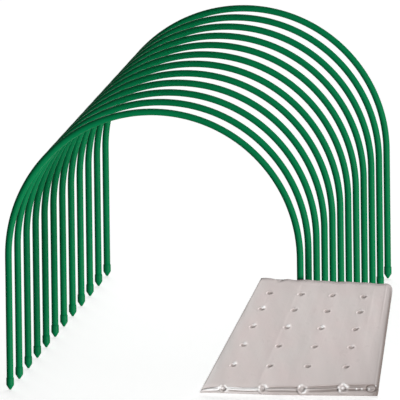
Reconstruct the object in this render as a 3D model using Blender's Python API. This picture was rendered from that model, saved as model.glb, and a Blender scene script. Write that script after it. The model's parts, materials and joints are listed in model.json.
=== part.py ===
"""Row cover tunnel: twelve coated steel hoops in a row, with the folded cover film leaning on the first.

Frame: +X to the right as seen from the front, +Y along the row towards the back, +Z up. The origin is on
the ground at the centre of the row's footprint. Each hoop stands on its two points, which go into the soil
in use. All lengths are in metres.
"""

import math

import bmesh
import bpy
from mathutils import Vector

# Hoops
HOOP_COUNT = 12
HOOP_PITCH = 0.110  # from one hoop's plane to the next
HOOP_LENGTH = 1.220  # along the tube's axis, from point to point
HOOP_WIDTH = 0.490  # between the axes of the two legs

# Tube
TUBE_DIAMETER = 0.0115  # over the coating
COATING_WALL = 0.0007
STEEL_WALL = 0.0006

# Tips
TIP_LENGTH = 0.0203  # overall, from mouth to point
TIP_CONE_LENGTH = 0.0080
TIP_WALL = 0.0005  # of the collar round the tube
TIP_FLOOR = 0.0015  # between the socket and the cone
TIP_LEAD_LENGTH = 0.0014  # the tapered rim at the mouth
TIP_LEAD_DROP = 0.0003  # how far the rim draws in
TIP_POINT_DIAMETER = 0.003  # of the flat at the blunted point

# Folded cover film
PACK_BOTTOM_WIDTH = 0.297
PACK_TOP_WIDTH = 0.222
PACK_TOP_SHIFT = 0.101  # the top left corner, to the right of the bottom left one
PACK_HEIGHT = 0.195  # at the left edge, from the ground up along the pack
PACK_TOP_FALL = 0.008  # how much lower the top edge is at its right end
PACK_THICKNESS = 0.010
PACK_FOLD_DIAMETER = 0.014  # of the thick rounded fold along the bottom
PACK_RIGHT_REACH = 0.132  # the bottom right corner, to the right of the leg's axis
PACK_CORNER_RADIUS = 0.012  # of the rounded top right corner

# Fits
CLEARANCE = 0.0003  # between pieces that touch

# Angles and counts
PACK_LEAN = math.radians(7.0)
SHARP_ANGLE = math.radians(50)  # edges sharper than this stay crisp
TUBE_SIDES = 8
ARCH_STEPS = 16
FOLD_STEPS = 8
CORNER_STEPS = 4

# Across the pack, from its left edge to its right: how full the folded layers are
PACK_FILL_SHARES = ((0.0, 0.45), (0.015, 0.85), (0.05, 1.0))
PACK_RIGHT_FILL_SHARE = 0.6

# Worked out from the sizes above
ARCH_RADIUS = HOOP_WIDTH / 2
SPRING_HEIGHT = (HOOP_LENGTH - math.pi * ARCH_RADIUS) / 2
COATING_OUTER = TUBE_DIAMETER / 2
COATING_BORE = COATING_OUTER - COATING_WALL
STEEL_OUTER = COATING_BORE - CLEARANCE
STEEL_BORE = STEEL_OUTER - STEEL_WALL
SOCKET_RADIUS = COATING_OUTER + CLEARANCE
TIP_RADIUS = SOCKET_RADIUS + TIP_WALL
SOCKET_FLOOR = TIP_CONE_LENGTH + TIP_FLOOR
TUBE_END = SOCKET_FLOOR + CLEARANCE
FIRST_HOOP_Y = -HOOP_PITCH * (HOOP_COUNT - 1) / 2


def clear_scene():
    for thing in list(bpy.data.objects):
        bpy.data.objects.remove(thing, do_unlink=True)


def make_material(name, colour, roughness, metallic=0.0):
    material = bpy.data.materials.new(name)
    material.use_nodes = True
    shader = material.node_tree.nodes["Principled BSDF"]
    shader.inputs["Base Color"].default_value = (*colour, 1.0)
    shader.inputs["Roughness"].default_value = roughness
    shader.inputs["Metallic"].default_value = metallic
    return material


def finish_mesh(bm, name, material):
    """Turns the faces outwards and writes the mesh, shaded smooth apart from its corners."""
    bmesh.ops.recalc_face_normals(bm, faces=bm.faces[:])
    mesh = bpy.data.meshes.new(name)
    bm.to_mesh(mesh)
    bm.free()
    mesh.materials.append(material)
    mesh.shade_smooth()
    mesh.set_sharp_from_angle(angle=SHARP_ANGLE)
    return mesh


def draw_out(bm, edges, offset):
    """Extrudes open edges by an offset and gives back the edges at the far end."""
    grown = bmesh.ops.extrude_edge_only(bm, edges=edges)["geom"]
    points = [part for part in grown if isinstance(part, bmesh.types.BMVert)]
    bmesh.ops.translate(bm, verts=points, vec=offset)
    return [part for part in grown if isinstance(part, bmesh.types.BMEdge) and len(part.link_faces) == 1]


def swept_wall(bm, radius):
    """One wall of a tube, up the left leg, over the arch and down the right leg, with its two end rings."""
    before = set(bm.faces)
    bmesh.ops.create_circle(bm, segments=TUBE_SIDES, radius=radius)
    left_end = [edge for edge in bm.edges if not edge.link_faces]
    points = {point for edge in left_end for point in edge.verts}
    bmesh.ops.translate(bm, verts=list(points), vec=(-ARCH_RADIUS, 0, TUBE_END))
    leg = Vector((0, 0, SPRING_HEIGHT - TUBE_END))
    arch = bmesh.ops.spin(
        bm,
        geom=draw_out(bm, left_end, leg),
        cent=(0, 0, SPRING_HEIGHT),
        axis=(0, 1, 0),
        angle=math.pi,
        steps=ARCH_STEPS,
        use_duplicate=False,
    )
    right_spring = [part for part in arch["geom_last"] if isinstance(part, bmesh.types.BMEdge)]
    right_end = draw_out(bm, right_spring, -leg)
    return left_end, right_end, [face for face in bm.faces if face not in before]


def bent_tube(name, outer, bore, material):
    """A tube along a hoop, open at both ends: an outer wall and a bore, joined by a ring at each end."""
    bm = bmesh.new()
    left_rim, right_rim, _ = swept_wall(bm, outer)
    left_mouth, right_mouth, lining = swept_wall(bm, bore)
    bmesh.ops.reverse_faces(bm, faces=lining)
    bmesh.ops.bridge_loops(bm, edges=left_rim + left_mouth)
    bmesh.ops.bridge_loops(bm, edges=right_rim + right_mouth)
    return finish_mesh(bm, name, material)


def turned_tip(name, material):
    """The moulded point: a socket that takes the tube's end, a collar with a tapered rim, and a blunted cone."""
    profile = (
        (TIP_POINT_DIAMETER / 2, 0),
        (TIP_RADIUS, TIP_CONE_LENGTH),
        (TIP_RADIUS, TIP_LENGTH - TIP_LEAD_LENGTH),
        (TIP_RADIUS - TIP_LEAD_DROP, TIP_LENGTH),
        (SOCKET_RADIUS, TIP_LENGTH),
        (SOCKET_RADIUS, SOCKET_FLOOR),
    )
    bm = bmesh.new()
    rings = []
    for radius, height in profile:
        ring = bmesh.ops.create_circle(bm, segments=TUBE_SIDES, radius=radius)["verts"]
        bmesh.ops.translate(bm, verts=ring, vec=(0, 0, height))
        rings.append(ring)
    for lower, upper in zip(rings, rings[1:]):
        for i in range(TUBE_SIDES):
            j = (i + 1) % TUBE_SIDES
            bm.faces.new((lower[i], lower[j], upper[j], upper[i]))
    bm.faces.new(rings[0])
    bm.faces.new(rings[-1])
    return finish_mesh(bm, name, material)


def pack_section(height, fill):
    """The pack's outline seen from its left, as (depth, height) points from the thick fold's centre.

    It runs from the back crease under the fold to the front crease, up the front face and over the top.
    """
    fold = PACK_FOLD_DIAMETER / 2
    half = PACK_THICKNESS / 2
    crease = math.asin(half / fold)
    points = []
    for step in range(FOLD_STEPS + 1):
        turn = crease + (2 * math.pi - 2 * crease) * step / FOLD_STEPS
        points.append((fold * math.sin(turn), fold * math.cos(turn)))
    top = height - fold
    points.append((-half, top - half))
    points.append((-half / 2, top))
    points.append((half / 2, top))
    points.append((half, top - half))
    return [(depth * fill, rise) for depth, rise in points]


def pack_height(share):
    """How tall the pack is at a share of its width."""
    return PACK_HEIGHT - PACK_TOP_FALL * share


def pack_stations():
    """Across the pack: (share of the width, height, how full), with the top right corner round."""
    stations = [(share, pack_height(share), fill) for share, fill in PACK_FILL_SHARES]
    right = pack_height(1)
    for step in range(CORNER_STEPS + 1):
        turn = math.pi / 2 * step / CORNER_STEPS
        share = 1 - PACK_CORNER_RADIUS * (1 - math.sin(turn)) / PACK_TOP_WIDTH
        drop = PACK_CORNER_RADIUS * (1 - math.cos(turn))
        fill = 1 - (1 - PACK_RIGHT_FILL_SHARE) * step / CORNER_STEPS
        stations.append((share, right - drop, fill))
    return stations


def folded_film(name, material):
    """The folded film as one solid, in the pack's own frame: the thick fold's axis is local X."""
    bottom_left = PACK_RIGHT_REACH - PACK_BOTTOM_WIDTH
    span = PACK_HEIGHT - PACK_FOLD_DIAMETER / 2
    bm = bmesh.new()
    loops = []
    for share, height, fill in pack_stations():
        loop = []
        for depth, rise in pack_section(height, fill):
            up = rise / span
            left = bottom_left + PACK_TOP_SHIFT * up
            width = PACK_BOTTOM_WIDTH + (PACK_TOP_WIDTH - PACK_BOTTOM_WIDTH) * up
            loop.append(bm.verts.new((left + width * share, depth, rise)))
        loops.append(loop)
    for one, two in zip(loops, loops[1:]):
        for i in range(len(one)):
            j = (i + 1) % len(one)
            bm.faces.new((one[i], one[j], two[j], two[i]))
    bm.faces.new(loops[0])
    bm.faces.new(loops[-1])
    return finish_mesh(bm, name, material)


def place(name, mesh, parent, location):
    thing = bpy.data.objects.new(name, mesh)
    bpy.context.scene.collection.objects.link(thing)
    thing.parent = parent
    thing.location = location
    return thing


def build_hoops(steel, coating):
    """Every hoop hangs on an empty on the ground below its crown, where its lift axis runs."""
    steel_mesh = bent_tube("steel_tube", STEEL_OUTER, STEEL_BORE, steel)
    coating_mesh = bent_tube("coating", COATING_OUTER, COATING_BORE, coating)
    tip_mesh = turned_tip("tip", coating)
    for number in range(HOOP_COUNT):
        hoop = f"hoop_{number + 1:02d}"
        axis = place(f"{hoop}_axis", None, None, (0, FIRST_HOOP_Y + HOOP_PITCH * number, 0))
        place(f"{hoop}_steel_tube", steel_mesh, axis, (0, 0, 0))
        place(f"{hoop}_coating", coating_mesh, axis, (0, 0, 0))
        place(f"{hoop}_left_tip", tip_mesh, axis, (-ARCH_RADIUS, 0, 0))
        place(f"{hoop}_right_tip", tip_mesh, axis, (ARCH_RADIUS, 0, 0))


def build_film(film):
    """The pack stands on its thick fold and leans back until its top rests on the first hoop's right leg."""
    fold = PACK_FOLD_DIAMETER / 2
    half = PACK_THICKNESS / 2
    seat = FIRST_HOOP_Y - COATING_OUTER - CLEARANCE
    leg_share = (PACK_BOTTOM_WIDTH - PACK_RIGHT_REACH - PACK_TOP_SHIFT) / PACK_TOP_WIDTH
    reach = pack_height(leg_share) - fold - half
    fold_y = seat - half * math.cos(PACK_LEAN) - reach * math.sin(PACK_LEAN)
    pack = place("cover_film", folded_film("cover_film", film), None, (ARCH_RADIUS, fold_y, fold))
    pack.rotation_euler.x = -PACK_LEAN


def main():
    clear_scene()
    steel = make_material("galvanised_steel", (0.55, 0.56, 0.57), 0.4, 1.0)
    coating = make_material("green_coating", (0.0, 0.25, 0.07), 0.25)
    film = make_material("milky_film", (0.62, 0.55, 0.53), 0.3)
    build_hoops(steel, coating)
    build_film(film)


main()
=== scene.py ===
"""Row cover tunnel: twelve coated steel hoops in a row and the folded cover film that leans on the first.

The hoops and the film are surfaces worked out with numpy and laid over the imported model's own places.
"""

import json
import math

import bpy
import numpy as np
from mathutils import Matrix, Vector

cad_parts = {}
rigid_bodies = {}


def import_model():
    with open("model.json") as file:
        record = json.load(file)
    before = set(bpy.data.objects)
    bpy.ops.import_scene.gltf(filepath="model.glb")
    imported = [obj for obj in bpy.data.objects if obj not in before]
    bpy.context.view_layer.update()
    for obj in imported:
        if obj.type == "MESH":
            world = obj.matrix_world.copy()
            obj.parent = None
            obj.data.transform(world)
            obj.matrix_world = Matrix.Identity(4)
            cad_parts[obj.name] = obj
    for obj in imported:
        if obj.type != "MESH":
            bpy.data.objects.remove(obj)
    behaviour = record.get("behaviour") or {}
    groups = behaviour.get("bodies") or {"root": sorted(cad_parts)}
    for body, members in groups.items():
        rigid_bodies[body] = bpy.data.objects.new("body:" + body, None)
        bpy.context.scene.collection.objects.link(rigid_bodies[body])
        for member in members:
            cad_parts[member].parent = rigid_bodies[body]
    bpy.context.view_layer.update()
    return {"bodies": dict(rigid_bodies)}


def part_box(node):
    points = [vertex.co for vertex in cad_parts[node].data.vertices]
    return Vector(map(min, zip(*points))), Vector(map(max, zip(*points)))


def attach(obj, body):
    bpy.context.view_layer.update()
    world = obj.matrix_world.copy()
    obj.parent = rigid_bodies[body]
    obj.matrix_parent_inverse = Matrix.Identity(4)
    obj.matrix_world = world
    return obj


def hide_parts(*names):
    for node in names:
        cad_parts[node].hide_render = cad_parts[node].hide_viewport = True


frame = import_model()

bl_info = {
    "name": "Row cover tunnel",
    "version": (1, 0, 0),
    "blender": (4, 5, 0),
    "location": "3D View > Sidebar > Row Cover",
    "description": "Builds the hoops, their points and the folded cover film of a garden row cover",
    "category": "Add Mesh",
}

HOOPS = sorted(name for name in frame["bodies"] if name.startswith("hoop_"))
FIRST_LOW, FIRST_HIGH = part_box(HOOPS[0] + "_coating")
TIP_LOW, TIP_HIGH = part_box(HOOPS[0] + "_left_tip")
TUBE = FIRST_HIGH[1] - FIRST_LOW[1]
LEG_RINGS = 12


# Sizes and colours


class HoopSettings(bpy.types.PropertyGroup):
    tube_diameter: bpy.props.FloatProperty(
        name="Tube diameter", description="Over the green coating", default=TUBE, unit="LENGTH")
    coating_wall: bpy.props.FloatProperty(
        name="Coating wall", description="Thickness of the plastic", default=0.0007, unit="LENGTH")
    steel_wall: bpy.props.FloatProperty(
        name="Steel wall", description="Thickness of the tube's steel", default=0.0006, unit="LENGTH")
    width: bpy.props.FloatProperty(
        name="Hoop width", description="Between the axes of the two legs", default=0.490, unit="LENGTH")
    tube_end: bpy.props.FloatProperty(
        name="Tube end", description="Height of the tube's ends, in the points",
        default=FIRST_LOW[2], unit="LENGTH")
    sides: bpy.props.IntProperty(
        name="Sides", description="Faces round the tube", default=28, min=8)
    arch_steps: bpy.props.IntProperty(
        name="Arch steps", description="Rings over the half circle", default=96, min=12)
    coating_colour: bpy.props.FloatVectorProperty(
        name="Coating colour", description="Green of the extruded coating", subtype="COLOR", size=3,
        default=(0.0010, 0.133, 0.0450), min=0.0, max=1.0)
    steel_colour: bpy.props.FloatVectorProperty(
        name="Steel colour", description="Bright galvanised steel", subtype="COLOR", size=3,
        default=(0.56, 0.57, 0.58), min=0.0, max=1.0)


class TipSettings(bpy.types.PropertyGroup):
    length: bpy.props.FloatProperty(
        name="Length", description="From the mouth to the point",
        default=TIP_HIGH[2] - TIP_LOW[2], unit="LENGTH")
    cone_length: bpy.props.FloatProperty(
        name="Cone length", description="Of the pointed end", default=0.0080, unit="LENGTH")
    diameter: bpy.props.FloatProperty(
        name="Diameter", description="Over the collar", default=0.0131, unit="LENGTH")
    socket_diameter: bpy.props.FloatProperty(
        name="Socket diameter", description="Of the hole for the tube", default=0.0121, unit="LENGTH")
    socket_floor: bpy.props.FloatProperty(
        name="Socket floor", description="Its height over the point", default=0.0095, unit="LENGTH")
    lead_length: bpy.props.FloatProperty(
        name="Lead length", description="Of the tapered rim at the mouth", default=0.0014, unit="LENGTH")
    lead_drop: bpy.props.FloatProperty(
        name="Lead drop", description="How far the rim draws in", default=0.0003, unit="LENGTH")
    point_diameter: bpy.props.FloatProperty(
        name="Point diameter", description="Of the blunted point", default=0.003, unit="LENGTH")
    rounding: bpy.props.FloatProperty(
        name="Rounding", description="Radius of the moulded edges", default=0.0007, unit="LENGTH")
    sides: bpy.props.IntProperty(name="Sides", description="Faces round the point", default=40, min=8)
    colour: bpy.props.FloatVectorProperty(
        name="Colour", description="Green of the moulded plastic", subtype="COLOR", size=3,
        default=(0.0010, 0.132, 0.0445), min=0.0, max=1.0)


class FilmSettings(bpy.types.PropertyGroup):
    bottom_width: bpy.props.FloatProperty(
        name="Bottom width", description="Along the thick fold", default=0.297, unit="LENGTH")
    top_width: bpy.props.FloatProperty(
        name="Top width", description="Along the top edge", default=0.222, unit="LENGTH")
    top_shift: bpy.props.FloatProperty(
        name="Top shift", description="From the bottom left corner to the top left one",
        default=0.101, unit="LENGTH")
    height: bpy.props.FloatProperty(
        name="Height", description="At the left edge, up along the pack", default=0.195, unit="LENGTH")
    top_fall: bpy.props.FloatProperty(
        name="Top fall", description="How much the top edge falls to the right",
        default=0.008, unit="LENGTH")
    thickness: bpy.props.FloatProperty(
        name="Thickness", description="Of all the folded layers", default=0.010, unit="LENGTH")
    fold_diameter: bpy.props.FloatProperty(
        name="Fold diameter", description="Of the thick bottom fold", default=0.014, unit="LENGTH")
    left_fold_share: bpy.props.FloatProperty(
        name="Left fold share", description="How thick the bottom fold is at its left end", default=0.62)
    right_reach: bpy.props.FloatProperty(
        name="Right reach", description="From the leg's axis to the right corner",
        default=0.132, unit="LENGTH")
    corner_radius: bpy.props.FloatProperty(
        name="Corner radius", description="Of the top right corner", default=0.012, unit="LENGTH")
    clearance: bpy.props.FloatProperty(
        name="Clearance", description="Between the pack and the leg", default=0.0003, unit="LENGTH")
    lean: bpy.props.FloatProperty(
        name="Lean", description="How far the pack leans back", default=math.radians(7.0),
        subtype="ANGLE", unit="ROTATION")
    width_panels: bpy.props.IntProperty(
        name="Width panels", description="Layers from folding the sheet's width", default=6, min=2)
    length_panels: bpy.props.IntProperty(
        name="Length panels", description="Layers from folding its length", default=24, min=4)
    air: bpy.props.FloatProperty(
        name="Air", description="Room under the top layer, as a share of the thickness", default=0.17)
    hole_width: bpy.props.FloatProperty(
        name="Hole width", description="Of a perforation's slit", default=0.0104, unit="LENGTH")
    hole_height: bpy.props.FloatProperty(
        name="Hole height", description="Of a perforation's slit", default=0.0052, unit="LENGTH")
    hole_depth: bpy.props.FloatProperty(
        name="Hole depth", description="How far the film dips at a perforation",
        default=0.0012, unit="LENGTH")
    colour: bpy.props.FloatVectorProperty(
        name="Colour", description="Milky film, many layers deep", subtype="COLOR", size=3,
        default=(0.624, 0.561, 0.547), min=0.0, max=1.0)
    # The colour of the painted shade in the perforations, the creases, the fold's underside and along the
    # right edge
    shade_colour: bpy.props.FloatVectorProperty(
        name="Shade colour", description="Inside the perforations and creases", subtype="COLOR", size=3,
        default=(0.240, 0.195, 0.177), min=0.0, max=1.0)
    # The colour of the painted highlights on the perforations' lips and on the fold's ridge, tuck, rings and
    # dots
    glint_colour: bpy.props.FloatVectorProperty(
        name="Glint colour", description="Stretched film on the lips", subtype="COLOR", size=3,
        default=(0.98, 0.97, 0.965), min=0.0, max=1.0)


class StageSettings(bpy.types.PropertyGroup):
    floor_size: bpy.props.FloatProperty(
        name="Floor size", description="Side of the pale floor", default=60.0, unit="LENGTH")
    sky_level: bpy.props.FloatProperty(
        name="Sky level", description="Even light from all round", default=0.09)
    key_level: bpy.props.FloatProperty(
        name="Key level", description="Soft light from low on the front right", default=1.51)
    back_level: bpy.props.FloatProperty(
        name="Back level", description="Weaker soft light from behind", default=0.60)


# Surfaces


def ring_quads(rows, columns, rows_closed, columns_closed):
    """Faces of a grid of points, row by row, with either direction closed on itself where asked."""
    i = np.arange(rows if rows_closed else rows - 1)
    j = np.arange(columns if columns_closed else columns - 1)
    i, j = np.meshgrid(i, j, indexing="ij")
    here, above = i * columns, (i + 1) % rows * columns
    right = (j + 1) % columns
    return np.stack((here + j, here + right, above + right, above + j), -1).reshape(-1, 4)


def grid_uvs(u_lines, v_lines):
    """UV corners of every face of a grid whose lines lie at u_lines (rows) and v_lines (columns)."""
    u0, u1, v0, v1 = u_lines[:-1], u_lines[1:], v_lines[:-1], v_lines[1:]
    corners = ((u0, v0), (u0, v1), (u1, v1), (u1, v0))
    return np.stack([np.stack(np.meshgrid(u, v, indexing="ij"), -1) for u, v in corners], 2).reshape(-1, 2)


def running(steps):
    """How far each point lies from the first, from the lengths of the steps between them."""
    return np.concatenate(([0], np.cumsum(steps)))


def placed(name, data):
    """A new object in the scene."""
    thing = bpy.data.objects.new(name, data)
    bpy.context.scene.collection.objects.link(thing)
    return thing


def new_piece(name, points, faces, material, uvs=None, floats=None):
    """Makes a mesh object from points and arrays of faces, with UV maps and attributes on its points."""
    def flat(values):
        return np.ascontiguousarray(values, dtype=np.float32).ravel()

    mesh = bpy.data.meshes.new(name)
    mesh.vertices.add(flat(points).size // 3)
    mesh.vertices.foreach_set("co", flat(points))
    corners = np.concatenate([part.ravel() for part in faces]).astype(np.int32)
    counts = np.concatenate([np.full(len(part), part.shape[1]) for part in faces])
    starts = running(counts)[:-1].astype(np.int32)
    mesh.loops.add(len(corners))
    mesh.loops.foreach_set("vertex_index", corners)
    mesh.polygons.add(len(counts))
    mesh.polygons.foreach_set("loop_start", starts)
    mesh.update(calc_edges=True)
    for label, values in (uvs or {}).items():
        mesh.uv_layers.new(name=label).data.foreach_set("uv", flat(values))
    for label, values in (floats or {}).items():
        mesh.attributes.new(label, "FLOAT", "POINT").data.foreach_set("value", flat(values))
    if mesh.validate():
        raise RuntimeError(f"{name}: the mesh had faces that don't hold together")
    mesh.polygons.foreach_set("use_smooth", np.full(len(counts), True))
    mesh.materials.append(material)
    return placed(name, mesh)


def hoop_path(settings, y):
    """A hoop's axis: up the left leg, round a half circle and down the right leg, in the plane of one y.

    Gives the points, the outward direction in the hoop's plane, and the length run so far.
    """
    radius = settings.width / 2
    spring = FIRST_HIGH[2] - settings.tube_diameter / 2 - radius
    turn = np.linspace(0, math.pi, settings.arch_steps + 1)
    leg = np.linspace(settings.tube_end, spring, LEG_RINGS)[:-1]
    ones, zeros = np.ones(len(leg)), np.zeros(len(leg))
    out_x = np.concatenate((-ones, -np.cos(turn), ones))
    out_z = np.concatenate((zeros, np.sin(turn), zeros))
    z = np.concatenate((leg, spring + radius * np.sin(turn), leg[::-1]))
    axis = np.stack((radius * out_x, np.full(len(z), y), z), -1)
    out = np.stack((out_x, np.zeros(len(z)), out_z), -1)
    return axis, out, running(np.linalg.norm(np.diff(axis, axis=0), axis=1))


def tube_wall(name, settings, y, outer, bore, material):
    """A tube with a wall: rings of radius outer along the hoop, then rings of radius bore back along it.

    Each ring point is axis + radius (cos angle out + sin angle Y). The grid closes on itself both ways.
    """
    axis, out, run = hoop_path(settings, y)
    angle = np.linspace(0, 2 * math.pi, settings.sides, endpoint=False)
    side = np.array((0.0, 1.0, 0.0))
    spoke = np.cos(angle)[None, :, None] * out[:, None, :] + np.sin(angle)[None, :, None] * side
    points = np.concatenate((axis[:, None] + outer * spoke, (axis[:, None] + bore * spoke)[::-1]))
    quads = ring_quads(len(points), settings.sides, True, True)
    along = np.concatenate((run, run[::-1], run[:1]))
    around = np.linspace(0, 2 * math.pi * outer, settings.sides + 1)
    return new_piece(name, points, [quads], material, uvs={"length": grid_uvs(along, around)})


def rounded_profile(corners, rounding, steps=4, most=0.45):
    """An outline of (radius, height) points with each inner corner rounded off by a parabola.

    The parabola starts and ends at rounding from the corner, or at the share most of a shorter side.
    """
    corners = np.asarray(corners, float)
    out = [corners[:1]]
    share = np.linspace(0, 1, steps + 1)[:, None]
    for before, corner, after in zip(corners, corners[1:], corners[2:]):
        back, ahead = before - corner, after - corner
        back_length, ahead_length = np.linalg.norm(back), np.linalg.norm(ahead)
        cut = min(rounding, most * back_length, most * ahead_length)
        start = corner + back / back_length * cut
        end = corner + ahead / ahead_length * cut
        out.append((1 - share) ** 2 * start + 2 * share * (1 - share) * corner + share ** 2 * end)
    out.append(corners[-1:])
    return np.concatenate(out)


def turned_piece(name, profile, sides, place, material):
    """A profile of (radius, height) points turned about Z at a place.

    Its first and last points lie on the axis, where a fan of triangles closes each end.
    """
    angle = np.linspace(0, 2 * math.pi, sides, endpoint=False)
    radius, height = profile[1:-1, :1], profile[1:-1, 1:]
    rings = np.stack(np.broadcast_arrays(radius * np.cos(angle), radius * np.sin(angle), height), -1)
    poles = np.array(((0, 0, profile[0, 1]), (0, 0, profile[-1, 1])))
    points = np.concatenate((rings.reshape(-1, 3), poles)) + np.asarray(place)
    quads = ring_quads(len(rings), sides, False, True)
    j = np.arange(sides)
    k = (j + 1) % sides
    pole = len(rings) * sides
    top = pole - sides
    fans = np.concatenate((
        np.stack((k, j, np.full(sides, pole)), -1),
        np.stack((top + j, top + k, np.full(sides, pole + 1)), -1),
    ))
    run = running(np.hypot(*np.diff(profile, axis=0).T))
    around = np.linspace(0, 1, sides + 1)

    def fan_uvs(rim, middle, one, two):
        corners = ((rim, one), (rim, two), (middle, two))
        return np.stack([np.stack((np.full(sides, u), v), -1) for u, v in corners], 1).reshape(-1, 2)

    turned = np.concatenate((
        grid_uvs(run[1:-1], around),
        fan_uvs(run[1], run[0], around[1:], around[:-1]),
        fan_uvs(run[-2], run[-1], around[:-1], around[1:]),
    ))
    return new_piece(name, points, [quads, fans], material, uvs={"turned": turned})


# Folded film

# Where the perforations lie on the top layer, as shares of its width and of its height over the thick fold
HOLE_COLUMN_SHARES = (0.110, 0.328, 0.554, 0.786)
HOLE_ROW_SHARES = (0.208, 0.392, 0.563, 0.724, 0.870)
# How far the lines from bottom to top bow to the right, as a share of the width
COLUMN_DRIFT_SHARE = 0.11
# How high the lip of each perforation is raised and how strong its painted highlight is, row by row from the
# bottom
LIP_SHARES = (
    (1.00, 0.25, 0.20, 0.25),
    (0.75, 0.30, 0.20, 0.50),
    (0.70, 1.00, 1.00, 0.35),
    (1.00, 0.30, 0.25, 0.35),
    (0.20, 0.30, 0.20, 0.20),
)
HOLE_SLANT = 0.14
# The flat layers meet the thick fold at this angle, and this is its sine
FOLD_CREASE = math.radians(45)
CREASE_SINE = 0.7071
# Along the thick fold, in millimetres from its left end: the heights of the band's top edge, of the ridge
# in it and of the crease under the ridge, how strong the painted highlight on the ridge is and how dark the
# painted shade in the creases is
BAND_RUN = (0.0, 35.0, 97.0, 107.0, 168.0, 208.0, 236.0, 266.0, 297.0)
BAND_TOP = (10.5, 13.6, 13.8, 13.9, 14.8, 17.2, 18.4, 19.4, 19.0)
BAND_RIDGE = (7.6, 10.9, 10.6, 10.6, 10.6, 11.8, 12.6, 13.6, 14.0)
BAND_CREASE = (4.6, 7.4, 7.2, 7.1, 6.4, 7.8, 9.2, 10.4, 8.0)
RIDGE_SHARES = (0.0, 2.6, 2.2, 0.35, 0.35, 0.0, 0.0, 0.0, 0.0)
CREASE_SHARES = (0.1, 0.70, 0.80, 0.85, 0.85, 0.90, 0.95, 0.85, 0.1)
# The puckered rings in the band: how far along, how high, their half width, and the angle of their painted
# highlight
RINGS = ((36.0, 10.6, 6.9, 0.2), (102.0, 10.8, 8.0, 0.5), (168.0, 10.8, 8.1, -0.6), (236.0, 12.6, 8.6, 0.9))
# The raised dots with painted highlights at its right end: how far along, how high, and their half width
CORNER_DOTS = ((258.5, 12.4, 1.2), (267.5, 12.0, 1.3), (280.0, 11.4, 1.5), (288.0, 17.5, 1.0))
# The crumple there, outlined in painted shade: how far along and how high, and its half sizes. Beside it a
# line of painted shade and its half width
CRUMPLE = (282.0, 13.0, 8.0, 6.0)
END_LINE = (292.5, 1.3)
# The angle round the fold where the band starts, the height where it ends, and how it fades there
BAND_START, START_FADE = 1.9, 0.25
BAND_END, END_FADE = 0.032, 0.006
# Slow waves in the film's face: height in metres, radians a metre across and up, and start
FACE_WAVES = ((0.00022, 52, 9, 0.4), (0.00016, 95, -38, 2), (0.00014, 23, 71, 0), (0.00010, 210, 60, 0))
# Edges of deeper layers that show in the face: height in metres, place and half width as shares of the
# width, and where up the face they fade in and over how much of it
FACE_EDGES = (
    (0.00020, 0.500, 0.010, -1.00, 1.0),
    (0.00018, 0.310, 0.012, -1.00, 1.0),
    (0.00016, 0.865, 0.010, 0.30, 0.5),
    (0.00025, 0.953, 0.006, 0.45, 0.4),
    (0.00020, 0.978, 0.005, 0.60, -0.3),
)
# Shares of the width at either side, and of the height at either end, where the layers are held together
SIDE_SHARE, END_SHARE = 0.03, 0.05
# The room under the top layer round the fold, and what each panel below adds, in metres
PANEL_ROOM, PANEL_STEP = 0.0017, 0.00015
# Where across the width the thick fold is at its full size, and the circle inside it as a share of it
FULL_FOLD, INNER_SHARE = 0.55, 0.60
# How far the inner layers' top edges lie lower, and how far they vary, in metres
EDGE_DROP, EDGE_FLUTTER = 0.0005, 0.0007


def ease(value):
    """0 below 0, 1 above 1, and 3v^2 - 2v^3 between."""
    value = np.clip(value, 0, 1)
    return value * value * (3 - 2 * value)


def bell(value, width):
    """A smooth bump of height 1 at 0: exp(-(value / width)^2)."""
    return np.exp(-(value / width) ** 2)


def lines_near(centres, reach, step, coarse):
    """Sorted lines from 0 to 1: fine ones within reach of each centre, coarse ones elsewhere."""
    near = [np.arange(c - reach, c + reach + step / 2, step) for c in centres]
    far = np.linspace(0, 1, coarse)
    far = far[np.all([np.abs(far - c) > reach + step for c in centres], axis=0)]
    lines = np.unique(np.round(np.concatenate(near + [far]), 6))
    return lines[(lines >= 0) & (lines <= 1)]


def film_columns(film):
    """Across the sheet: (place from left to right, panel). A half panel number marks the fold between two.

    The panels inside the pack need few columns. The one on top has fine ones at its holes and its sides.
    """
    rim, left, right = 0.0008, 0.03, 0.85
    inner = np.array((rim, 0.03, 0.1, 0.5, 0.9, 0.97, 1 - rim))
    outer = lines_near(HOLE_COLUMN_SHARES, reach=0.036, step=0.0008 / film.bottom_width, coarse=56)
    outer = outer[(outer < right) & (outer > left)]
    outer = np.concatenate((np.linspace(0, left, 9), outer, np.linspace(right, 1 - rim, 54)))
    places, panels = [], []
    last = film.width_panels - 1
    for panel in range(film.width_panels):
        lines = outer if panel == last else inner
        rightward = panel % 2 == 0
        places += [lines if rightward else lines[::-1]]
        panels += [np.full(len(lines), float(panel))]
        if panel < last:
            places += [np.array((1.0 if rightward else 0.0,))]
            panels += [np.array((panel + 0.5,))]
    return np.concatenate(places), np.concatenate(panels)


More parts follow.
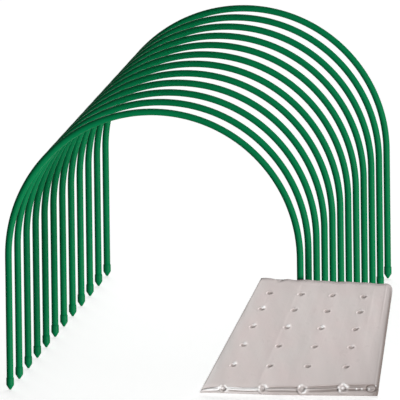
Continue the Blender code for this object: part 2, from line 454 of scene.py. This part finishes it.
def film_rows(film):
    """Along the sheet, a table with one line for each row.

    Its columns: the two blocks the row lies between, how far it is turned from one to the other, its place
    from the bottom crease to the top, and its angle round the thick fold, or NaN off it.
    """
    last = film.length_panels - 1
    nan = float("nan")
    rows = []
    middles = [share + 0.007 for share in HOLE_ROW_SHARES]
    back = lines_near(middles, reach=0.020, step=0.0042, coarse=14)
    front = lines_near(middles, reach=0.026, step=0.0006 / film.height, coarse=44)
    front = np.unique(np.concatenate((front, np.linspace(0, 0.055, 17), np.linspace(0.955, 1, 10))))
    for block in range(last - 1):
        places = (1.0, 0.0) if block % 2 == 0 else (0.0, 1.0)
        rows += [(block, block, 0.0, place, nan) for place in places]
        turns = (math.pi / 4, math.pi / 2, 3 * math.pi / 4)
        rows += [(block, block + 1, turn, places[-1], nan) for turn in turns]
    rows += [(last - 1, last - 1, 0.0, place, nan) for place in back[::-1]]
    bottom = np.radians(np.concatenate((np.linspace(-38, 92, 11), np.linspace(97, 222, 42))))
    rows += [(last - 1, last, math.pi / 2, 0.0, angle) for angle in bottom]
    rows += [(last, last, 0.0, place, nan) for place in front]
    return np.array(rows)


def layer_number(film, block, panel):
    """How many layers lie in front of this one: the last block is in front, the others follow behind."""
    width = film.width_panels
    last = film.length_panels - 1
    behind = width * (block + 1) + np.where(block % 2 == 0, panel, width - 1 - panel)
    return np.where(block == last, width - 1 - panel, behind)


def band_relief(u, w, slant):
    """Relief, painted shade and painted highlight (glint) of the thick fold's front, from metres along it
    and up it.

    The places along it lean over by slant, as the pack's left edge does; rings and dots stay upright.
    All that follows is in millimetres: each mark is a bell or an eased step of the distance from its line.
    """
    u, w = u * 1000, w * 1000
    # The band grows from left to right; a raised ridge with a painted highlight runs along it between two
    # creases darkened with painted shade, and painted shade lines its top edge
    sway = 0.30 * np.sin(u / 17) + 0.2 * np.sin(u / 7.3 + 1)
    top = np.interp(u, BAND_RUN, BAND_TOP) + sway
    rim = np.interp(u, BAND_RUN, BAND_RIDGE) + sway
    low = np.interp(u, BAND_RUN, BAND_CREASE) + 0.6 * sway
    bright = np.interp(u, BAND_RUN, RIDGE_SHARES)
    dark = np.interp(u, BAND_RUN, CREASE_SHARES)
    light = np.clip(bright + 0.25, 0, 1)
    edge = bell(w - top, 0.55)
    from_rim = np.abs(w - rim)
    ridge, gleam = (ease((half - from_rim) / 0.8) * light for half in (2.3, 2.9))
    upper = dark * ease((w - rim - 1.3 * light) / 0.8) * ease((top + 0.3 - w) / 0.7)
    lower = dark * ease((rim - 1.6 * light - w) / 0.8) * ease((w - low + 1.7) / 0.9)
    relief = 0.45 * bell(w - top - 1.2, 0.8) - 0.5 * edge + 0.7 * ridge - 0.8 * upper - 0.9 * lower
    # Under the creases a plain strip gets a painted highlight at the left, and painted shade with a thin
    # painted shadow line along its bottom to the right
    strip = ease((low - 1.3 - w) / 1.0) * ease((w + 0.5) / 0.8)
    away = ease((u - 60) / 80)
    bottom_shadow_line = bell(w - 0.5, 0.7) * ease((u - 215) / 40)
    shade = 0.45 * edge + 0.75 * upper + 0.85 * lower + 0.26 * strip * away + 0.6 * bottom_shadow_line
    glint = bright * gleam + 0.22 * strip * (1 - away)
    # A raised tuck with a painted highlight widens from the left end to the first ring
    run = np.clip((u - 3) / 27, 0, 1)
    tuck = (u < 31) * ease((0.7 + 2.4 * run - np.abs(w - 7.8 - 3.6 * run)) / 0.7) * ease((u - 2) / 2)
    relief, shade, glint = relief + 0.9 * tuck, shade * (1 - tuck), np.maximum(glint, 1.2 * tuck)
    # A puckered ring with a raised heart stands where each column of perforations goes round the fold, with
    # painted shade round its rim and inside it, and painted highlights on its arcs and heart
    for number, (centre, up, size, bright_side) in enumerate(RINGS):
        across, high = (u - centre + slant * (w - up)) / size, (w - up) / size
        turn = np.arctan2(high, across)
        dents = 1 + 0.04 * np.sin(2 * turn + 1.9 * number) + 0.05 * np.sin(5 * turn + number)
        out = np.hypot(across, high) * dents
        keep = 1 - ease((1.25 - out) / 0.3)
        relief, shade, glint = relief * keep, shade * keep, glint * keep
        pleats = 0.6 + 0.4 * np.cos(3 * turn + 1.7 * number) * np.cos(2 * turn + number)
        ring = bell(out - 0.82, 0.21)
        heart = bell(np.hypot(across + 0.15 * np.cos(2.3 * number), (high - 0.12) * 1.5), 0.26)
        relief = relief + 1.2 * ring * pleats - 1.1 * bell(out, 0.5) + 0.9 * heart
        rim_shade = 0.42 * bell(out - 1.10, 0.12) * (0.7 - 0.3 * np.cos(turn - 0.9))
        shade = shade + rim_shade + 0.5 * bell(out - 0.5, 0.16)
        lean = turn - bright_side
        arc = 1.8 * np.maximum(np.cos(lean), 0) ** 2 + 1.3 * np.maximum(np.cos(lean - 2.6), 0) ** 3
        arc = arc * (0.75 + 0.25 * np.sin(7 * turn + 2 * number))
        glint = glint + ring * arc + 0.9 * heart * (0.55 + 0.45 * np.cos(2.1 * number))
    # Each dot is raised and carries a painted highlight
    for along, up, size in CORNER_DOTS:
        dot = bell(np.hypot(u - along + slant * (w - up), w - up), size)
        relief, shade, glint = relief + 0.8 * dot, shade * (1 - dot), glint + 1.1 * dot
    # A crumple lies at the right end, outlined in painted shade, with a line of painted shade beside it
    along, up, long_half, high_half = CRUMPLE
    out = np.hypot((u - along + slant * (w - up)) / long_half, (w - up) / high_half)
    crumple = bell(out - 1, 0.16)
    relief = relief - 0.8 * crumple + 0.5 * bell(out, 0.7)
    shade = shade + 0.8 * crumple + 0.7 * bell(u - END_LINE[0], END_LINE[1]) * ease((8 - w) / 3)
    return relief / 1000, np.clip(shade - glint, 0, 1), np.clip(glint, 0, 1)


def hole_relief(film, x, up, holes):
    """Relief, painted shade and painted highlight (glint) of the perforations, from metres across and up the
    face.

    Each one is an oval dip with a raised rim and a lip at its upper right. From its middle, across and high
    are counted in its half sizes, out is their distance, and far is the distance from the lip's middle.
    """
    relief, shade, glint = 0, 0, 0
    for row, column, place, height, lip in holes:
        slant = HOLE_SLANT * (1 + 0.6 * np.sin(4.1 * row + 2.3 * column))
        beside = x - place
        across = beside / (film.hole_width / 2)
        high = (up - height - slant * beside) / (film.hole_height / 2)
        out = np.hypot(across, high)
        far = np.hypot((across - 0.60) / 0.62, (high - 0.95) / 0.85)
        relief = relief - film.hole_depth * ease((1.2 - out) / 0.8)
        relief = relief + film.hole_depth * (0.22 * bell(out - 1.35, 0.22) + 0.75 * lip * bell(far, 0.9))
        # Painted shade fills each dip, heavier at the lower left (lit_side) and lighter in its middle
        # (heart); a painted highlight lies on the lip
        heart = 1 - 0.35 * bell(out, 0.42)
        lit_side = 1.0 - 0.45 * ease((across + high + 0.3) / 1.6)
        shade = shade + 0.86 * ease((1.15 - out) / 0.6) * heart * lit_side
        glint = glint + 1.9 * lip ** 2 * bell(far, 0.8)
    return relief, np.clip(shade - 1.2 * glint, 0, 1), np.clip(glint, 0, 1)


def film_surface(film):
    """The whole sheet as one grid, folded across into panels and along into blocks.

    A point's layer sets its depth, its column its place between the left and the right edge, and its row
    its height: up and down in a zigzag, and at the end round the thick fold and up the front.
    """
    place, panel = film_columns(film)
    table = film_rows(film)
    one, two, turn, high, angle = (table[:, k][:, None] for k in range(5))
    place, panel = place[None, :], panel[None, :]
    blocks, width = film.length_panels, film.width_panels
    layers = blocks * width
    fold = film.fold_diameter / 2
    half = film.thickness / 2
    span = film.height - fold
    rolled = ~np.isnan(angle)
    safe = np.where(rolled, angle, 0)
    outer_block = one >= blocks - 2
    inset = width - 1 - panel
    top_panel = inset == 0

    # A row on its way from one block to the next lies between their layers, by (1 - cos turn) / 2
    number_one = layer_number(film, one, panel)
    number_two = layer_number(film, two, panel)
    share_two = (1 - np.cos(turn)) / 2
    number = np.where(rolled, np.where(angle > math.pi / 2, number_two, number_one),
                      (1 - share_two) * number_one + share_two * number_two)

    # The top edge waves a little, with a notch near its left end and a rounded right corner
    across = place + COLUMN_DRIFT_SHARE * place * (1 - place) * high
    corner = film.corner_radius
    into = np.clip(corner - (1 - across) * film.top_width, 0, corner)
    drop = corner - np.sqrt(np.maximum(corner ** 2 - into ** 2, 0))
    wave = 0.0004 * np.sin(across * 19 + 0.6) + 0.0004 * np.sin(across * 41)
    wave = wave - 0.0026 * bell(across - 0.145, 0.028) + 0.0006 * bell(across - 0.21, 0.03)

    # The layers share the thickness, which thins towards the sides, and the top one has air under it
    fill = 1 - 0.10 * (1 - ease(across / 0.008)) - 0.34 * ease((across - 0.90) / 0.10) ** 2
    beside = ease(across / SIDE_SHARE) * ease((1 - across) / SIDE_SHARE)
    loose = beside * ease((1 - high) / END_SHARE)
    count = layers - 1
    first = 1 / count + film.air * loose
    share = np.where(number < 1, number * first, first + (1 - first) * (number - 1) / (count - 1))
    depth = half * fill * (1 - 2 * share)

    # Round the thick fold each layer lies on a shell, which is slimmer at the left and for deeper panels
    radius = fold * (film.left_fold_share + (1 - film.left_fold_share) * ease(across / FULL_FOLD))
    rolled_room = np.where(inset >= 1, PANEL_ROOM * beside, 0) * ease((angle - 1.2) / 0.8)
    room = np.where(rolled, rolled_room, np.where(inset >= 1, PANEL_ROOM * loose, 0))
    shell = radius - room - PANEL_STEP * inset
    shell_depth = shell * math.cos(FOLD_CREASE)

    # The inner blocks end on a smaller circle at the bottom, and not quite in line at the top
    inner_radius = INNER_SHARE * radius
    bottom_inner = -np.sqrt(np.maximum(inner_radius ** 2 - np.minimum(np.abs(depth), inner_radius) ** 2, 0))
    bottom = np.where(outer_block, shell_depth, bottom_inner)
    flutter = np.sin(number * 12.9898) * 43.758
    flutter = flutter - np.floor(flutter)
    top = film.height - film.top_fall * across - fold - drop + wave - EDGE_FLUTTER * flutter
    top = top - np.where((number < 1) | (number > layers - 2), 0.0, EDGE_DROP)
    rise = bottom + (top - bottom) * high
    bow = np.abs(number_two - number_one) / 2 * (2 * half * fill / count) * np.sin(turn)
    rise = rise + np.where(rolled, 0, bow * np.where(high > 0.5, 1, -1))
    depth = depth * (1 - 0.5 * np.clip((rise - (top - half)) / half, 0, 1) ** 2)
    near_fold = ease(high / END_SHARE)
    side = np.where(one >= blocks - 1, 1.0, -1.0)
    depth = np.where(outer_block & ~rolled, depth * near_fold + side * shell_depth * (1 - near_fold), depth)
    depth = np.where(rolled, -shell * np.cos(safe), depth)
    rise = np.where(rolled, -shell * np.sin(safe), rise)
    out_depth = np.where(rolled, -np.cos(safe), side * near_fold + side * CREASE_SINE * (1 - near_fold))
    out_rise = np.where(rolled, -np.sin(safe), CREASE_SINE * (1 - near_fold))

    def x_at(s, r):
        """Metres to the right of the leg at a share s of the width and r over the fold's axis."""
        up = r / span
        left = film.right_reach - film.bottom_width + film.top_shift * up
        return left + (film.bottom_width + (film.top_width - film.bottom_width) * up) * s

    x = x_at(across, rise)
    up = rise + fold
    front = top_panel & ((rolled & (safe > BAND_START)) | (one >= blocks - 1))
    band_starts = np.where(rolled, ease((safe - BAND_START) / START_FADE), 1)
    band_here = front * band_starts * ease((BAND_END - up) / END_FADE)
    back = top_panel & (one == blocks - 2) & ~rolled

    band_u = x - (film.right_reach - film.bottom_width) - film.top_shift * rise / span
    band, band_shade, band_glint = band_relief(band_u, up, film.top_shift / span)

    holes = []
    base = fold * math.cos(FOLD_CREASE)
    for row, row_share in enumerate(HOLE_ROW_SHARES):
        for column, column_share in enumerate(HOLE_COLUMN_SHARES):
            s = column_share + COLUMN_DRIFT_SHARE * column_share * (1 - column_share) * row_share
            height = base + (film.height - film.top_fall * s - fold - base) * row_share
            holes.append((row, column, x_at(s, height), height, LIP_SHARES[row][column]))
    dips, dip_shade, dip_glint = hole_relief(film, x, rise, holes)
    holes_here = ((front & ~rolled) | back) * 1.0

    soft = sum(size * np.sin(x * over + rise * along + start) for size, over, along, start in FACE_WAVES)
    edges = sum(size * bell(across - at, reach) * ease((high - start) / fade)
                for size, at, reach, start, fade in FACE_EDGES)
    face = (soft + edges) * near_fold * (front & ~rolled) * loose
    relief = band * band_here + (dips * holes_here + face)
    depth = depth + relief * out_depth
    rise = rise + relief * out_rise
    # The painted shade and painted highlight of the band and the perforations
    shade = band_shade * band_here + dip_shade * holes_here
    glint = band_glint * band_here + dip_glint * holes_here

    # The pack stands on the ground and leans on the first hoop's right leg
    lean = film.lean
    seat = (FIRST_LOW[1] + FIRST_HIGH[1]) / 2 - TUBE / 2 - film.clearance
    leg_share = (film.bottom_width - film.right_reach - film.top_shift) / film.top_width
    reach = film.height - film.top_fall * leg_share - fold - half
    fold_y = seat - half * math.cos(lean) - reach * math.sin(lean)
    shape = np.broadcast_shapes(x.shape, depth.shape, rise.shape)
    points = np.empty(shape + (3,))
    points[..., 0] = FIRST_HIGH[0] - TUBE / 2 + x
    points[..., 1] = fold_y + rise * math.sin(lean) - depth * math.cos(lean)
    points[..., 2] = fold + rise * math.cos(lean) + depth * math.sin(lean)
    return points, np.broadcast_to(shade, shape), np.broadcast_to(glint, shape), across, high


# Finishes

# Most values of a noise lie between these
NOISE_SPAN = (0.3, 0.7)


def new_finish(name):
    material = bpy.data.materials.new(name)
    material.use_nodes = True
    return material, material.node_tree, material.node_tree.nodes["Principled BSDF"]


def fill(tree, node, sockets):
    """Links outputs to a node's sockets, or sets the sockets' own values, by name or number."""
    for key, value in sockets.items():
        socket = node.inputs[key]
        if isinstance(value, bpy.types.NodeSocket):
            tree.links.new(value, socket)
        else:
            socket.default_value = value


def add(tree, kind, sockets=None, **settings):
    """Adds a node, sets its options and fills its sockets."""
    made = tree.nodes.new(kind)
    for key, value in settings.items():
        setattr(made, key, value)
    fill(tree, made, sockets or {})
    return made


def reckon(tree, operation, one, two):
    return add(tree, "ShaderNodeMath", {0: one, 1: two}, operation=operation).outputs[0]


def blend_colours(tree, share, low, high):
    """low where share is 0 and high where it is 1."""
    return add(tree, "ShaderNodeMix", {0: share, 6: low, 7: high}, data_type="RGBA").outputs[2]


def rescale(tree, value, low, high, from_low=0.0, from_high=1.0):
    """low where the value is from_low or beyond, high where it is from_high or beyond."""
    sockets = {"Value": value, "From Min": from_low, "From Max": from_high, "To Min": low, "To Max": high}
    return add(tree, "ShaderNodeMapRange", sockets).outputs[0]


def tinted(colour, *factors):
    """A colour with its channels times one factor, or times one factor each."""
    return (*[min(1.0, part * factor) for part, factor in zip(colour, factors * 3)], 1.0)


def noise(tree, vector, scale, detail=3.0):
    sockets = {"Vector": vector, "Scale": scale, "Detail": detail}
    return add(tree, "ShaderNodeTexNoise", sockets).outputs[0]


def stretched(tree, vector, scale):
    return add(tree, "ShaderNodeMapping", {"Vector": vector, "Scale": scale}).outputs[0]


def bumped(tree, height, strength, distance, under=None):
    """A relief of a distance in metres, over the plain surface or over another relief."""
    sockets = {"Height": height, "Strength": strength, "Distance": distance}
    if under is not None:
        sockets["Normal"] = under
    return add(tree, "ShaderNodeBump", sockets).outputs[0]


def object_place(tree):
    return add(tree, "ShaderNodeTexCoord").outputs["Object"]


def uv_place(tree, label):
    return add(tree, "ShaderNodeUVMap", uv_map=label).outputs[0]


def coating_finish(colour):
    """Extruded soft-gloss green plastic: cloudy tone, fine draw lines along the tube, faint orange peel."""
    material, tree, shader = new_finish("green_coating")
    place = object_place(tree)
    cloud = noise(tree, place, 38.0)
    lines = noise(tree, stretched(tree, uv_place(tree, "length"), (9.0, 1500.0, 1.0)), 1.0, 2.0)
    peel = noise(tree, place, 1400.0, 2.0)
    tone = blend_colours(tree, cloud, tinted(colour, 0.88), tinted(colour, 1.12))
    tone = blend_colours(tree, rescale(tree, lines, 0.0, 0.16, 0.35, 0.75), tone, tinted(colour, 1.3))
    fill(tree, shader, {
        "Base Color": tone,
        "Roughness": rescale(tree, cloud, 0.40, 0.52, *NOISE_SPAN),
        "Specular IOR Level": 0.03,
        "Normal": bumped(tree, peel, 0.25, 0.00004, under=bumped(tree, lines, 0.25, 0.00006)),
    })
    return material


def tip_finish(colour):
    """Moulded green plastic: flow marks up the cone, a fine spark-eroded grain and a faint parting line.

    The line runs up two opposite sides, where the turn round the point is whole or half.
    """
    material, tree, shader = new_finish("moulded_green")
    place = object_place(tree)
    turn = add(tree, "ShaderNodeSeparateXYZ", {"Vector": uv_place(tree, "turned")}).outputs[1]
    flow = noise(tree, stretched(tree, place, (260.0, 260.0, 60.0)), 1.0)
    grain = noise(tree, place, 2600.0, 2.0)
    from_line = reckon(tree, "PINGPONG", turn, 0.25)
    seam, seam_share = (rescale(tree, from_line, most, 0.0, 0.0, 0.008) for most in (1.0, 0.5))
    tone = blend_colours(tree, flow, tinted(colour, 0.85), tinted(colour, 1.15))
    tone = blend_colours(tree, seam_share, tone, tinted(colour, 1.35))
    fill(tree, shader, {
        "Base Color": tone,
        "Roughness": rescale(tree, grain, 0.40, 0.55, *NOISE_SPAN),
        "Specular IOR Level": 0.04,
        "Normal": bumped(tree, seam, 0.5, 0.0001, under=bumped(tree, grain, 0.3, 0.00005)),
    })
    return material


def steel_finish(colour):
    """Thin galvanised steel: small zinc spangles, dull patches and rolled lines along the tube."""
    material, tree, shader = new_finish("galvanised_steel")
    place = object_place(tree)
    spangle = add(tree, "ShaderNodeTexVoronoi", {"Vector": place, "Scale": 420.0}).outputs["Color"]
    spangle_tone = add(tree, "ShaderNodeSeparateColor", {"Color": spangle}).outputs[0]
    lines = noise(tree, stretched(tree, uv_place(tree, "length"), (14.0, 2200.0, 1.0)), 1.0)
    dull = noise(tree, place, 70.0)
    tone = blend_colours(tree, spangle_tone, tinted(colour, 0.85), tinted(colour, 1.1))
    tone = blend_colours(tree, rescale(tree, dull, 0.0, 0.4, 0.45, 0.75), tone, tinted(colour, 0.65))
    fill(tree, shader, {
        "Base Color": tone,
        "Roughness": rescale(tree, dull, 0.28, 0.5, *NOISE_SPAN),
        "Metallic": 1.0,
        "Normal": bumped(tree, lines, 0.3, 0.00004),
    })
    return material


def film_finish(film):
    """Milky film, many layers deep: cloudy tone, fine streaks, painted shade in the slits and creases,
    painted highlights on the lips.

    It is paler at the left, and darker at the lower right and the top; painted shade darkens the right side
    and lines its right edge. Some light goes through each layer, so the pack looks soft and a little deep.
    """
    material, tree, shader = new_finish("milky_film")
    colour = tuple(film.colour)
    place = object_place(tree)
    places = add(tree, "ShaderNodeSeparateXYZ", {"Vector": uv_place(tree, "pack")}).outputs
    across, high = places[0], places[1]
    shade, glint = (add(tree, "ShaderNodeAttribute", attribute_name=label).outputs["Fac"]
                    for label in ("shade", "glint"))
    cloud = noise(tree, place, 22.0, 4.0)
    blotch = noise(tree, place, 75.0)
    streaks = noise(tree, stretched(tree, uv_place(tree, "sheet"), (420.0, 5.0, 1.0)), 1.0)
    pink, grey = tinted(colour, 1.01, 0.985, 0.985), tinted(colour, 0.985, 1.01, 1.005)
    to_right = rescale(tree, across, 0.0, 1.0, 0.45, 0.90)
    to_bottom = rescale(tree, high, 1.0, 0.0, 0.05, 0.50)
    at_edge = rescale(tree, across, 0.0, 0.85, 0.982, 0.994)
    below_corner = rescale(tree, high, 1.0, 0.2, 0.90, 0.97)
    tone = blend_colours(tree, rescale(tree, cloud, 0.0, 1.0, 0.35, 0.65), grey, pink)
    for share, over in (
        (rescale(tree, blotch, 0.0, 0.35, 0.45, 0.75), tinted(colour, 0.93)),
        (rescale(tree, streaks, 0.0, 0.30, 0.5, 0.75), tinted(colour, 1.09)),
        (rescale(tree, across, 0.55, 0.0, 0.010, 0.075), tinted(colour, 1.0, 1.08, 1.08)),
        (reckon(tree, "MULTIPLY", to_right, to_bottom), tinted(colour, 0.88)),
        (rescale(tree, high, 0.0, 0.6, 0.84, 0.96), tinted(colour, 0.93)),
        # Painted shade darkens the right side towards its edge, and a line of painted shade runs down the
        # right edge below the corner
        (rescale(tree, across, 0.0, 1.0, 0.915, 0.985), tinted(colour, 0.66)),
        (reckon(tree, "MULTIPLY", at_edge, below_corner), tinted(film.shade_colour, 0.9)),
        # The painted shade and painted highlights carried by the shade and glint attributes
        (shade, tinted(film.shade_colour, 1.0)),
        (glint, tinted(film.glint_colour, 1.0)),
    ):
        tone = blend_colours(tree, share, tone, over)
    normal = bumped(tree, streaks, 0.2, 0.0002)
    normal = bumped(tree, noise(tree, place, 160.0), 0.35, 0.0006, under=normal)
    fill(tree, shader, {
        "Base Color": tone,
        "Roughness": rescale(tree, blotch, 0.26, 0.40, *NOISE_SPAN),
        "Specular IOR Level": 0.35,
        "Normal": normal,
    })
    through = add(tree, "ShaderNodeBsdfTranslucent", {"Color": tone, "Normal": normal}).outputs[0]
    both = add(tree, "ShaderNodeMixShader", {0: 0.06, 1: shader.outputs[0], 2: through}).outputs[0]
    fill(tree, tree.nodes["Material Output"], {"Surface": both})
    return material


def seen_directly(tree):
    """1 where the camera, a reflection or a refraction looks, and 0 for the light that is passed on."""
    path = add(tree, "ShaderNodeLightPath").outputs
    seen = reckon(tree, "MAXIMUM", path["Is Camera Ray"], path["Is Glossy Ray"])
    return reckon(tree, "MAXIMUM", seen, path["Is Transmission Ray"])


def floor_finish():
    """Pale matt floor: it shows white with the object's soft shadow, and passes on half of its light."""
    material, tree, shader = new_finish("pale_floor")
    tree.nodes.remove(shader)
    seen = seen_directly(tree)
    paper = noise(tree, object_place(tree), 3.0)
    white = blend_colours(tree, paper, (0.90, 0.90, 0.90, 1.0), (0.92, 0.92, 0.92, 1.0))
    shown = blend_colours(tree, seen, (0.5, 0.5, 0.5, 1.0), white)
    matt = add(tree, "ShaderNodeBsdfDiffuse", {"Color": shown}).outputs[0]
    level = rescale(tree, seen, 0.0, 0.70)
    glow = add(tree, "ShaderNodeEmission", {"Color": (1, 1, 1, 1), "Strength": level}).outputs[0]
    both = add(tree, "ShaderNodeAddShader", {0: matt, 1: glow}).outputs[0]
    fill(tree, tree.nodes["Material Output"], {"Surface": both})
    return material


# Operators


def tubes(hoops, node, outer, wall, finish):
    """A tube of a radius and a wall on every hoop, in place of the hoop's own node."""
    for hoop in HOOPS:
        low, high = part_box(f"{hoop}_{node}")
        middle = (low[1] + high[1]) / 2
        piece = tube_wall(f"{node}_{hoop[-2:]}", hoops, middle, outer, outer - wall, finish)
        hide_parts(f"{hoop}_{node}")
        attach(piece, hoop)


class ROWCOVER_OT_coatings(bpy.types.Operator):
    """Lay a round green coating over every hoop"""
    bl_idname = "row_cover.coatings"
    bl_label = "Coatings"

    def execute(self, context):
        hoops = context.scene.row_cover_hoops
        finish = coating_finish(hoops.coating_colour)
        tubes(hoops, "coating", hoops.tube_diameter / 2, hoops.coating_wall, finish)
        return {"FINISHED"}


class ROWCOVER_OT_steel_tubes(bpy.types.Operator):
    """Put the thin steel tube inside every coating"""
    bl_idname = "row_cover.steel_tubes"
    bl_label = "Steel tubes"

    def execute(self, context):
        hoops = context.scene.row_cover_hoops
        finish = steel_finish(hoops.steel_colour)
        low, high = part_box(HOOPS[0] + "_steel_tube")
        tubes(hoops, "steel_tube", (high[1] - low[1]) / 2, hoops.steel_wall, finish)
        return {"FINISHED"}


class ROWCOVER_OT_leg_tips(bpy.types.Operator):
    """Push a moulded point onto both legs of every hoop"""
    bl_idname = "row_cover.leg_tips"
    bl_label = "Leg tips"

    def execute(self, context):
        tip = context.scene.row_cover_tips
        finish = tip_finish(tip.colour)
        outer, socket = tip.diameter / 2, tip.socket_diameter / 2
        corners = (
            (0, 0),
            (tip.point_diameter / 2, 0),
            (outer, tip.cone_length),
            (outer, tip.length - tip.lead_length),
            (outer - tip.lead_drop, tip.length),
            (socket, tip.length),
            (socket, tip.socket_floor),
            (0, tip.socket_floor),
        )
        profile = rounded_profile(corners, tip.rounding)
        for hoop in HOOPS:
            for side in ("left", "right"):
                low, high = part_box(f"{hoop}_{side}_tip")
                place = ((low[0] + high[0]) / 2, (low[1] + high[1]) / 2, low[2])
                piece = turned_piece(f"{side}_point_{hoop[-2:]}", profile, tip.sides, place, finish)
                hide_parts(f"{hoop}_{side}_tip")
                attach(piece, hoop)
        return {"FINISHED"}


class ROWCOVER_OT_cover_film(bpy.types.Operator):
    """Fold the perforated film into its pack and lean it on the first hoop"""
    bl_idname = "row_cover.cover_film"
    bl_label = "Cover film"

    def execute(self, context):
        film = context.scene.row_cover_film
        points, shade, glint, across, high = film_surface(film)
        rows, columns = points.shape[:2]
        quads = ring_quads(rows, columns, False, False)
        along, over = (running(np.linalg.norm(np.diff(points, axis=way), axis=2).mean(axis=1 - way))
                       for way in (0, 1))
        sheet = grid_uvs(along, over)[:, ::-1]
        pack = np.stack([np.broadcast_to(share, (rows, columns)).ravel() for share in (across, high)], -1)
        # The shade and glint attributes carry the painted shade and painted highlights
        piece = new_piece("folded_cover_film", points, [quads], film_finish(film),
                          uvs={"sheet": sheet, "pack": pack[quads.ravel()]},
                          floats={"shade": shade, "glint": glint})
        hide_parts("cover_film")
        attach(piece, "folded_film")
        return {"FINISHED"}


class ROWCOVER_OT_stage(bpy.types.Operator):
    """Set the pale floor, the soft studio light and the camera"""
    bl_idname = "row_cover.stage"
    bl_label = "Stage"

    def execute(self, context):
        stage = context.scene.row_cover_stage
        side = stage.floor_size / 2
        lines = np.linspace(-side, side, 13)
        x, y = np.meshgrid(lines, lines, indexing="xy")
        points = np.stack((x, y, np.zeros_like(x)), -1)
        quads = ring_quads(len(lines), len(lines), False, False)
        floor = new_piece("floor", points, [quads], floor_finish())
        # The key light comes from below the floor, so the floor casts no shadow itself
        floor.visible_shadow = False

        world = bpy.data.worlds.new("studio")
        world.use_nodes = True
        tree = world.node_tree
        level = rescale(tree, seen_directly(tree), stage.sky_level, 1.0)
        fill(tree, tree.nodes["Background"], {"Color": (1, 1, 1, 1), "Strength": level})
        context.scene.world = world

        soft_lamp("key_light", azimuth=51.0, elevation=-10.0, spread=32.0, level=stage.key_level)
        soft_lamp("back_light", azimuth=178.0, elevation=26.0, spread=50.0, level=stage.back_level)
        context.scene.camera = photo_camera()
        context.scene.view_settings.view_transform = "Standard"
        return {"FINISHED"}


def direction(azimuth, elevation):
    """From the object towards an azimuth, counted from its front to its right, and an elevation."""
    level = math.cos(elevation)
    return Vector((math.sin(azimuth) * level, -math.cos(azimuth) * level, math.sin(elevation)))


def soft_lamp(name, azimuth, elevation, spread, level):
    """A soft far light from an azimuth and an elevation, in degrees. Level 1 is full light."""
    lamp = bpy.data.lights.new(name, "SUN")
    lamp.energy = level * math.pi
    lamp.angle = math.radians(spread)
    thing = placed(name, lamp)
    thing.rotation_mode = "QUATERNION"
    towards = direction(math.radians(azimuth), math.radians(elevation))
    thing.rotation_quaternion = towards.to_track_quat("Z", "Y")


def photo_camera():
    """A very long lens, a little to the right of the row's front and above it, as in the photograph."""
    azimuth, elevation, roll = math.radians(7.5003), math.radians(8.7624), math.radians(0.7078)
    distance, aim_across, aim_up = 31.1489, -0.0014, 0.2258
    ahead = -direction(azimuth, elevation)
    right = Vector((math.cos(azimuth), math.sin(azimuth), 0))
    up = right.cross(ahead)
    lens = bpy.data.cameras.new("photo_camera")
    lens.lens, lens.sensor_width = 1650.0, 36.0
    lens.clip_start, lens.clip_end = 1.0, 200.0
    camera = placed("photo_camera", lens)
    turned_right = math.cos(roll) * right - math.sin(roll) * up
    turned_up = math.sin(roll) * right + math.cos(roll) * up
    axes = Matrix((turned_right, turned_up, -ahead)).transposed().to_4x4()
    axes.translation = right * aim_across + up * aim_up - ahead * distance
    camera.matrix_world = axes
    return camera


class ROWCOVER_PT_panel(bpy.types.Panel):
    """Lists the pieces of the row cover"""
    bl_idname = "ROWCOVER_PT_panel"
    bl_label = "Row Cover Tunnel"
    bl_space_type = "VIEW_3D"
    bl_region_type = "UI"
    bl_category = "Row Cover"

    def draw(self, context):
        for label, group in GROUPS:
            box = self.layout.box()
            for name in group.__annotations__:
                box.prop(getattr(context.scene, label), name)
        for operator in OPERATORS:
            self.layout.operator(operator.bl_idname)


OPERATORS = (
    ROWCOVER_OT_coatings,
    ROWCOVER_OT_steel_tubes,
    ROWCOVER_OT_leg_tips,
    ROWCOVER_OT_cover_film,
    ROWCOVER_OT_stage,
)
GROUPS = (
    ("row_cover_hoops", HoopSettings),
    ("row_cover_tips", TipSettings),
    ("row_cover_film", FilmSettings),
    ("row_cover_stage", StageSettings),
)


def register():
    for name, group in GROUPS:
        bpy.utils.register_class(group)
        setattr(bpy.types.Scene, name, bpy.props.PointerProperty(type=group))
    for one in (*OPERATORS, ROWCOVER_PT_panel):
        bpy.utils.register_class(one)


def unregister():
    for one in (ROWCOVER_PT_panel, *reversed(OPERATORS)):
        bpy.utils.unregister_class(one)
    for name, group in reversed(GROUPS):
        delattr(bpy.types.Scene, name)
        bpy.utils.unregister_class(group)


def main():
    register()
    bpy.ops.row_cover.coatings()
    bpy.ops.row_cover.steel_tubes()
    bpy.ops.row_cover.leg_tips()
    bpy.ops.row_cover.cover_film()
    bpy.ops.row_cover.stage()


if __name__ == "__main__":
    main()
